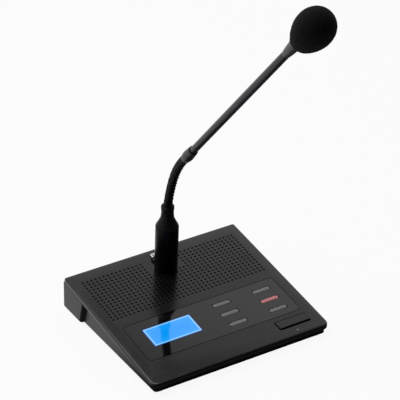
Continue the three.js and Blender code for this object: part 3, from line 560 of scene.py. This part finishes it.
# Line sockets: two modular jacks moulded in black, each with a row of gilt spring wires. They
# carry the chain of units and stand empty.
JACK_MOUTH_Y, JACK_FLOOR, JACK_CEILING = 77.9, -17, -8.4
WIRE_RADIUS, WIRE_SPACING, WIRE_COUNT = 0.22, 1.27, 6


def spring_wires(centre_x):
    """Round wires side by side: a circle carried along an eased polyline, which comes down from the
    jack's ceiling behind its mouth and ends at its back wall."""
    path = np.array(eased([
        [JACK_MOUTH_Y - 2, JACK_CEILING - WIRE_RADIUS], [JACK_MOUTH_Y - 10.5, JACK_FLOOR + 3.4],
        [JACK_MOUTH_Y - 14, JACK_FLOOR + 3.2]], 2))
    along = np.gradient(path, axis=0)
    along /= np.linalg.norm(along, axis=1, keepdims=True)
    angle = np.arange(8) * math.pi / 4
    x = centre_x + WIRE_SPACING * (np.arange(WIRE_COUNT) - (WIRE_COUNT - 1) / 2)
    y = path[:, :1] - WIRE_RADIUS * along[:, 1:] * np.sin(angle)
    z = path[:, 1:] + WIRE_RADIUS * along[:, :1] * np.sin(angle)
    return np.stack(np.broadcast_arrays(x[:, None, None] + WIRE_RADIUS * np.cos(angle), y, z), axis=-1)


jack_black = sprayed_paint("black PBT, moulded", "#202022", 0.45, 0.4, 0.5, 0.006)
gilt = plain_stock("gilt spring wire", "#d9b35a", 1.0, 0.2)
for node, centre_x in (("line_socket_in", -50), ("line_socket_out", -28)):
    softened(node.replace("line_socket", "jack"), node, jack_black, "base", 0.15)
    wires = closed_skins("wires", spring_wires(centre_x), PLATE)
    fitted(node.replace("line_socket", "jack_wires"), wires, gilt, "base")


# Front panel: one sheet of acrylic, tinted black behind and polished, let into the cover with
# a hairline gap. Its gloss mirrors the white studio and the dark stem.
def polished(name, colour, roughness, ior):
    """Polished plastic: a deep even colour under a mirror whose gloss drifts with faint wipe marks."""
    wipe_mm, wipe_swing = 40, 0.3
    material = bpy.data.materials.new(name)
    material.use_nodes = True
    tree = material.node_tree
    tree.nodes.clear()
    place = add(tree, "ShaderNodeTexCoord").outputs["Object"]
    wipe = add(tree, "ShaderNodeTexNoise", {"Vector": place, "Scale": 1000 / wipe_mm, "Detail": 2.0,
                                            "Roughness": 0.5})
    gloss = add(tree, "ShaderNodeMapRange", {
        "Value": wipe.outputs[0], "From Min": 0.3, "From Max": 0.7,
        "To Min": roughness * (1 - wipe_swing), "To Max": roughness * (1 + wipe_swing)})
    shader = add(tree, "ShaderNodeBsdfPrincipled", {
        "Base Color": linear(colour), "Roughness": gloss.outputs[0], "IOR": ior})
    add(tree, "ShaderNodeOutputMaterial", {"Surface": shader.outputs[0]})
    return material


black_acrylic = polished("black acrylic, polished", "#0b0b0d", 0.05, 1.49)
softened("panel_sheet", "front_panel", black_acrylic, "base", 0.12)


# Display: a clear window over a blue liquid-crystal module that is lit from behind. It shows no
# text. The module is paler along its rim, where the light guide ends.
DISPLAY = dict(width=45.4, length=23.5, centre=(-37.0, -25.2))


def lit_module(name):
    """A lit blue field whose tint follows the distance to its nearest edge, the smaller of half the width
    less |x| and half the length less |y|: deep blue at the frame, pale where the light guide ends, then
    blue."""
    material = bpy.data.materials.new(name)
    material.use_nodes = True
    tree = material.node_tree
    tree.nodes.clear()
    place = add(tree, "ShaderNodeTexCoord").outputs["Object"]
    middle = placed([[*DISPLAY["centre"], 0]], PLATE)[0]
    centred = add(tree, "ShaderNodeMapping", {
        "Vector": place, "Location": tuple(middle), "Rotation": (SLOPE, 0, 0),
        "Scale": (0.001, 0.001, 0.001)}, vector_type="TEXTURE")
    parts = add(tree, "ShaderNodeSeparateXYZ", {"Vector": centred.outputs[0]})
    edges = []
    for side, size in (("X", DISPLAY["width"]), ("Y", DISPLAY["length"])):
        off = add(tree, "ShaderNodeMath", {0: parts.outputs[side]}, operation="ABSOLUTE")
        edges.append(add(tree, "ShaderNodeMath", {0: size / 2, 1: off.outputs[0]}, operation="SUBTRACT"))
    rim = add(tree, "ShaderNodeMath", {0: edges[0].outputs[0], 1: edges[1].outputs[0]}, operation="MINIMUM")
    share = add(tree, "ShaderNodeMapRange", {"Value": rim.outputs[0], "From Max": 10.0})
    tint = add(tree, "ShaderNodeValToRGB", {"Fac": share.outputs["Result"]})
    stops = tint.color_ramp.elements
    stops[0].position, stops[0].color = 0.03, linear("#0062c4")
    stops[1].position, stops[1].color = 1.0, linear("#0099fb")
    for position, colour in ((0.075, "#a4dcff"), (0.14, "#7cc8ff"), (0.22, "#16a0fc")):
        stops.new(position).color = linear(colour)
    shader = add(tree, "ShaderNodeBsdfPrincipled", {
        "Base Color": linear("#06182a"), "Roughness": 0.06, "IOR": 1.7,
        "Emission Color": tint.outputs["Color"], "Emission Strength": 0.95})
    add(tree, "ShaderNodeOutputMaterial", {"Surface": shader.outputs[0]})
    return material


softened("display_pane", "display_window", lit_module("blue liquid-crystal module, lit"), "base", 0.15)
dress(polished("display glass, blue", "#123c66", 0.08, 1.52), "display_glass")
dress(plain_stock("light guide, frosted", "#dfe6ee", 0.0, 0.4), "display_backlight")


# Keys: six bars of translucent silicone, grey but for a red one, level with the panel and
# slightly crowned. They look dull in the gloss panel and carry no marks.
KEY = dict(width=17.0, length=4.4, corner=2.0, columns=(17.7, 57.4), rows=(-14.0, -28.0, -42.0))
RED_KEY = 4
grey_silicone = sprayed_paint("grey silicone, moulded", "#6b6b6f", 0.42, 0.4, 0.5, 0.01)
red_silicone = sprayed_paint("red silicone, moulded", "#c2777e", 0.42, 0.4, 0.5, 0.01)
key_profile = eased([[0, -1.6], [0, -0.35], [0.3, 0.0], [1.0, 0.1], [1.9, 0.12]], 0.15, 2)
key_sites = [(x, y) for y in KEY["rows"] for x in KEY["columns"]]
for number, site in enumerate(key_sites, start=1):
    outline = rounded_outline(KEY["width"], KEY["length"], KEY["corner"], site, steps=6)
    key_mesh = closed_skin(f"key_{number}", carried(outline, key_profile), PLATE)
    silicone = red_silicone if number == RED_KEY else grey_silicone
    key = fitted(f"key_bar_{number}", key_mesh, silicone, f"key_{number}", [f"key_{number}"])


# Talk key: a flap moulded in ABS and sprayed with the cover, hinged along its rear edge, so it
# stands proud at the front over a dark gap. A clear lens in front of it passes the lamp.
TALK_LIFT = math.radians(5)


def talk_place():
    """The flap's own frame: the plate's axes turned by the flap's rest angle about the hinge."""
    turn = np.array([[1, 0, 0], [0, math.cos(TALK_LIFT), -math.sin(TALK_LIFT)],
                     [0, math.sin(TALK_LIFT), math.cos(TALK_LIFT)]])
    return placed(TALK_HINGE, PLATE), turn @ PLATE[1]


talk_outline = rounded_outline(TALK["width"], TALK["length"], TALK["corner"],
                               (0, TALK["rear_y"] - TALK["length"] / 2 - TALK_HINGE[1]))
talk_top = -TALK_HINGE[2]
talk_profile = eased(
    [[0, talk_top - 1.6], [0, talk_top - 0.3], [0.35, talk_top], [1.2, talk_top + 0.02]], 0.3)
talk_mesh = closed_skin("talk_key", carried(talk_outline, talk_profile), talk_place())
flap_paint = sprayed_paint("satin black paint on moulded ABS", "#0b0b0c", 0.24, 0.26, 0.5, 0.004)
talk_key = fitted("talk_flap", talk_mesh, flap_paint, "talk_key", ["talk_key"])
lens = sprayed_paint("lamp lens, clear polycarbonate", "#75757b", 0.3, 0.4, 0.6, 0.002)
turned("lamp_lens", eased([[0.1, -2.2], [1.0, -2.2], [1.0, 0.0], [0.55, 0.22], [0.1, 0.25]], 0.15),
       (placed([*LAMP, 0], PLATE), PLATE[1]), lens, "base", ["talk_lamp"], 24)


# Inside, seen only through the holes and the socket: green boards, the switch under the talk
# key, snap domes and a small loudspeaker with a pressed basket and a paper cone.
dress(plain_stock("circuit board, green solder resist", "#174d33", 0.0, 0.4),
      "main_board", "key_board", "talk_board")
dress(plain_stock("switch body, moulded", "#5c5e62", 0.0, 0.45), "talk_switch")
dress(plain_stock("dome film, drawn", "#c3c6ca", 0.3, 0.35), "key_dome_sheet")
dress(plain_stock("basket steel, zinc plated", "#3c3e42", 0.9, 0.45), "speaker_basket", "speaker_magnet")
dress(plain_stock("cone paper, pressed black", "#161617", 0.0, 0.9), "speaker_cone")


# Microphone socket and its latch: a die-cast body under the cover, a dark grey push cap and the
# bright blade behind it, which catches the light beside the black plug.
BUTTON_FOOT, BUTTON_CORNER = -1.9, 1.3
dress(plain_stock("socket body, die-cast black", "#242426", 0.3, 0.4), "mic_socket_body")
dress(jack_black, "mic_socket_insert", "plug_insert")
cap_grey = sprayed_paint("dark grey acetal, moulded", "#141416", 0.4, 0.2, 0.5, 0.006)
nickel = plain_stock("latch blade, bright nickel", "#cdced1", 1.0, 0.14)


def latch_button(name, sizes, top, edge, material, node):
    """A button with a rounded rectangular outline and a generously rounded upper edge."""
    y_range = sizes["y"]
    outline = rounded_outline(sizes["width"], y_range[1] - y_range[0], BUTTON_CORNER, (0, sum(y_range) / 2))
    crown = [[edge * (1 - math.cos(a)), top - edge * (1 - math.sin(a))]
             for a in np.linspace(0, math.pi / 2, 7)]
    mesh = closed_skin(name, carried(outline, [[0, BUTTON_FOOT], *crown]), PLATE)
    fitted(name, mesh, material, "release_latch", [node])


latch_button("latch_cap", LATCH_CAP, 2.8, 0.9, cap_grey, "release_cap")
latch_button("latch_blade", LATCH_BLADE, 1.6, 0.8, nickel, "release_blade")


# Plug: a zinc shell, lacquered black, whose narrower foot stands in the socket, and a moulded
# boot that screws into it and narrows to a ringed neck. The lacquer shows only soft lights.
PLUG = (placed([0, SOCKET_Y, 0], PLATE), PLATE[1])
PLUG_RADIUS, PLUG_BODY_TOP, BOOT_TOP, NECK_RADIUS = 10.2, 45.5, 67.1, 5.5
black_lacquer = sprayed_paint("black lacquer on die-cast zinc", "#070708", 0.3, 0.1, 0.5, 0.002)
boot_black = sprayed_paint("black nylon, moulded satin", "#161618", 0.42, 0.08, 0.5, 0.006)
sleeve_profile = eased([
    [8.1, -17], [9.4, -17], [9.4, 0.4], [PLUG_RADIUS + 0.1, 0.8], [PLUG_RADIUS, PLUG_BODY_TOP],
    [8.4, PLUG_BODY_TOP]], 0.35)
turned("plug_sleeve", sleeve_profile, PLUG, black_lacquer, "microphone", ["plug_shell"], 96)
boot_profile = eased([
    [7.6, 32], [7.6, PLUG_BODY_TOP + 0.3], [PLUG_RADIUS, PLUG_BODY_TOP + 0.3], [9.2, 47.4], [6.05, 54.2],
    [NECK_RADIUS, 59], [NECK_RADIUS, 63.2], [NECK_RADIUS + 0.3, 63.7], [NECK_RADIUS + 0.3, BOOT_TOP - 0.5],
    [5.0, BOOT_TOP], [3.5, BOOT_TOP + 0.2]], 0.5)
turned("boot", boot_profile, PLUG, boot_black, "microphone", ["plug_boot"], 96)
dress(plain_stock("contact pin, gold plated", "#c9a55a", 1.0, 0.2), "plug_pin_1", "plug_pin_2", "plug_pin_3")


# Gooseneck: a steel tube wound from seven blackened wires side by side, whose turns show as
# slanting ridges. It is made in stretches from the middle of one link to the middle of the
# next, each bending smoothly over the joint between them, and sways a little sideways.
LINK_LENGTH, NECK_CORE, RIDGE, WIRES = 8.3, 3.45, 0.5, 7
RIDGE_SPACING, RIDGE_ROWS, NECK_COLUMNS = LINK_LENGTH / 2, 18, 84
SWAY, SWAY_LINKS, SWAY_START = 0.6, 10, 0.6
INTO_BOOT, INTO_COLLAR = 1.6, 5.2
COLLAR_BEND = math.radians(3.42)
NECK_JOINTS = [joint for joint in frame["joints"] if joint["name"].startswith("neck_")]
balls = [np.array(joint["pos_m"]) for joint in NECK_JOINTS]
stem_foot = balls[-1]
axes = [(after - before) / np.linalg.norm(after - before) for before, after in zip(balls[:-1], balls[1:])]
last = axes[-1]
stem_axis = np.array([0, last[1] * math.cos(COLLAR_BEND) - last[2] * math.sin(COLLAR_BEND),
                      last[2] * math.cos(COLLAR_BEND) + last[1] * math.sin(COLLAR_BEND)])
axes = [PLATE[1][2], *axes, stem_axis]
neck_steel = sprayed_paint("wound steel, blackened", "#0a0a0b", 0.4, 0.12, 0.4, 0.004)


def wound_stretch(number, before_mm, after_mm):
    """A tube along a quadratic curve whose control point is the joint, swayed sideways by a sine of its
    number, and whose ends lie on the axes below and above it. Its radius is the core's plus a ridge of
    |cos| that turns with the angle, as many ridges round as there are wires."""
    ball, below, above = balls[number].copy(), axes[number], axes[number + 1]
    ball[0] += SWAY / 1000 * math.sin(2 * math.pi * (number + SWAY_START) / SWAY_LINKS)
    rows = int((before_mm + after_mm) / RIDGE_SPACING * RIDGE_ROWS)
    t = np.linspace(0, 1, rows)[:, None]
    start, end = ball - below * before_mm / 1000, ball + above * after_mm / 1000
    centre = (1 - t) ** 2 * start + 2 * t * (1 - t) * ball + t ** 2 * end
    tangent = (1 - t) * (ball - start) + t * (end - ball)
    tangent /= np.linalg.norm(tangent, axis=1, keepdims=True)
    across = np.array([1.0, 0, 0])
    facing = np.cross(tangent, across)
    angle = np.arange(NECK_COLUMNS) * 2 * math.pi / NECK_COLUMNS
    along = number * LINK_LENGTH - before_mm + t * (before_mm + after_mm)
    turns = along / RIDGE_SPACING + WIRES * angle / (2 * math.pi)
    radius = NECK_CORE + RIDGE * abs(np.cos(math.pi * turns))
    points = centre[:, None] + radius[..., None] / 1000 * (
        np.cos(angle)[None, :, None] * across + np.sin(angle)[None, :, None] * facing[:, None])
    return points, start, end


for number, joint in enumerate(NECK_JOINTS):
    before_mm = INTO_BOOT if number == 0 else LINK_LENGTH / 2
    after_mm = INTO_COLLAR if number == len(NECK_JOINTS) - 1 else LINK_LENGTH / 2
    points, start, end = wound_stretch(number, before_mm, after_mm)
    mesh = closed_skin(f"neck_{number + 1}", points * 1000, (np.zeros(3), np.eye(3)))
    mesh.materials.append(neck_steel)
    stretch = bpy.data.objects.new(f"gooseneck_{number + 1}", mesh)
    bpy.context.scene.collection.objects.link(stretch)
    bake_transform(stretch)
    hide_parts(f"neck_link_{min(number + 1, len(NECK_JOINTS) - 1)}")


# Stem: a drawn steel tube with black satin paint, which stands in a moulded collar below and
# carries the flared aluminium housing of the capsule above.
def upright(axis):
    """Axes whose z is the given one and whose x stays level."""
    across = np.array([1.0, 0, 0])
    return np.array([across, np.cross(axis, across), axis])


STEM = (stem_foot, upright(stem_axis))
STEM_RADIUS, STEM_START, STEM_END = 3.3, 12, 236
COLLAR_TOP, COLLAR_RADIUS = 24.6, 4.9
HEAD_START, HEAD_TOP, HEAD_RADIUS = 230.5, 265.0, 6.2
collar_black = sprayed_paint("black nylon, moulded with a soft gloss", "#131315", 0.36, 0.4, 0.5, 0.008)
stem_paint = sprayed_paint("satin black paint on drawn tube", "#0e0e0f", 0.3, 0.3, 0.5, 0.004)
head_paint = sprayed_paint("satin black paint on turned aluminium", "#222223", 0.32, 0.45, 0.5, 0.004)
collar_profile = eased([
    [3.3, 6.0], [3.3, 3.8], [3.95, 3.6], [4.25, 5.5], [COLLAR_RADIUS - 0.1, 9.5], [COLLAR_RADIUS, 13],
    [COLLAR_RADIUS - 0.4, 20], [COLLAR_RADIUS - 0.7, COLLAR_TOP - 0.3], [COLLAR_RADIUS - 1.0, COLLAR_TOP],
    [STEM_RADIUS + 0.1, COLLAR_TOP]], 0.6)
turned("collar", collar_profile, STEM, collar_black, "stem", ["stem_collar"], 64)
turned("stem_pipe", [[STEM_RADIUS, STEM_START], [STEM_RADIUS, STEM_END]], STEM, stem_paint, "stem",
       ["stem_tube"], 48)
housing_profile = eased([
    [STEM_RADIUS + 0.05, HEAD_START], [3.45, HEAD_START + 0.2], [3.9, HEAD_START + 4], [4.6, HEAD_START + 13],
    [5.3, HEAD_START + 22], [HEAD_RADIUS, HEAD_START + 29], [HEAD_RADIUS, HEAD_TOP], [5.0, HEAD_TOP]], 1.6)
turned("head_housing", housing_profile, STEM, head_paint, "stem", ["capsule_housing"], 64)
dress(plain_stock("capsule can, plain aluminium", "#9a9ca0", 1.0, 0.3), "capsule")


# Windscreen: an egg of open-cell polyurethane foam, cut and ground to shape. Its torn cells
# swallow the light, so it looks dull black with a fine grain. It grips the housing by friction.
FOAM_CENTRE, FOAM_HALF, FOAM_RADIUS, FOAM_FULLNESS, FOAM_DROP = 274.3, 26.7, 14.5, 0.335, -2.1
FOAM_MOUTH, FOAM_BORE, FOAM_BORE_DEPTH, FOAM_EASE, FOAM_TIP = 6.2, 5.9, 6, 0.4, 0.004
FOAM_WAVES = ((7.0, 0.1), (3.1, 0.06), (1.3, 0.05))


def foam_points(rows=150, columns=200):
    """An egg: the radius is R sin t (1 - f cos t) and the height is -H cos t, from the mouth to the tip,
    where f makes the far end fuller. Past the mouth its rings' centres sink below the stem's line to
    their full drop. Sums of fixed sine waves in three directions make it slightly uneven, as ground foam
    is."""
    near_half = np.linspace(0, math.pi / 2, 200)
    near_radius = FOAM_RADIUS * np.sin(near_half) * (1 - FOAM_FULLNESS * np.cos(near_half))
    mouth_angle = np.interp(FOAM_MOUTH, near_radius, near_half)
    t = np.linspace(mouth_angle, math.pi - FOAM_TIP, rows)[:, None]
    angle = np.arange(columns)[None] * 2 * math.pi / columns
    radius = FOAM_RADIUS * np.sin(t) * (1 - FOAM_FULLNESS * np.cos(t))
    height = FOAM_CENTRE - FOAM_HALF * np.cos(t)
    sunk = np.clip((t - mouth_angle) / FOAM_EASE, 0, 1)
    drop = FOAM_DROP * sunk ** 2 * (3 - 2 * sunk)
    x, y = radius * np.cos(angle), radius * np.sin(angle)
    z = height + 0 * angle
    uneven = 0.0
    for wave_mm, size in FOAM_WAVES:
        k = 2 * math.pi / wave_mm
        uneven = uneven + size * np.sin(k * (x + 0.4 * z)) * np.sin(k * (y - 0.3 * z) + 1) * np.sin(k * z + x)
    swell = 1 + uneven / FOAM_RADIUS
    points = np.stack([x * swell, y * swell + drop, z], axis=-1)
    inner = carried(circle_outline(FOAM_BORE, sides=columns), [[0, height[0, 0] + FOAM_BORE_DEPTH]])
    return np.concatenate([inner, points])


def open_cell_foam(name):
    """Black foam: its cells, drawn coarser than real ones so that they show, dent the surface, and a painted
    shade darkens their depths, under a faint sheen of torn walls."""
    cell_mm, grit_mm, dent_mm = 0.9, 0.6, 0.4
    material = bpy.data.materials.new(name)
    material.use_nodes = True
    tree = material.node_tree
    tree.nodes.clear()
    place = add(tree, "ShaderNodeTexCoord").outputs["Object"]
    cells = add(tree, "ShaderNodeTexVoronoi", {"Vector": place, "Scale": 1000 / cell_mm})
    grit = add(tree, "ShaderNodeTexNoise", {"Vector": place, "Scale": 1000 / grit_mm, "Detail": 3.0,
                                            "Roughness": 0.7})
    depth = add(tree, "ShaderNodeMath", {0: cells.outputs["Distance"], 1: grit.outputs[0]},
                operation="MULTIPLY")
    # Painted shade: the colour is darker where the cells are deeper, in place of the shade in their hollows.
    shade = add(tree, "ShaderNodeValToRGB", {"Fac": depth.outputs[0]})
    stops = shade.color_ramp.elements
    stops[0].position, stops[0].color = 0.1, linear("#08080a")
    stops[1].position, stops[1].color = 0.5, linear("#151517")
    dents = add(tree, "ShaderNodeBump", {"Height": depth.outputs[0], "Strength": 0.8,
                                         "Distance": dent_mm / 1000})
    shader = add(tree, "ShaderNodeBsdfPrincipled", {
        "Base Color": shade.outputs["Color"], "Roughness": 0.95, "Specular IOR Level": 0.08,
        "Sheen Weight": 0.02, "Sheen Roughness": 0.6, "Normal": dents.outputs[0]})
    add(tree, "ShaderNodeOutputMaterial", {"Surface": shader.outputs[0]})
    return material


foam = fitted("foam_windscreen", closed_skin("foam", foam_points(), STEM),
              open_cell_foam("open-cell polyurethane foam, ground"), "stem", ["windscreen"])
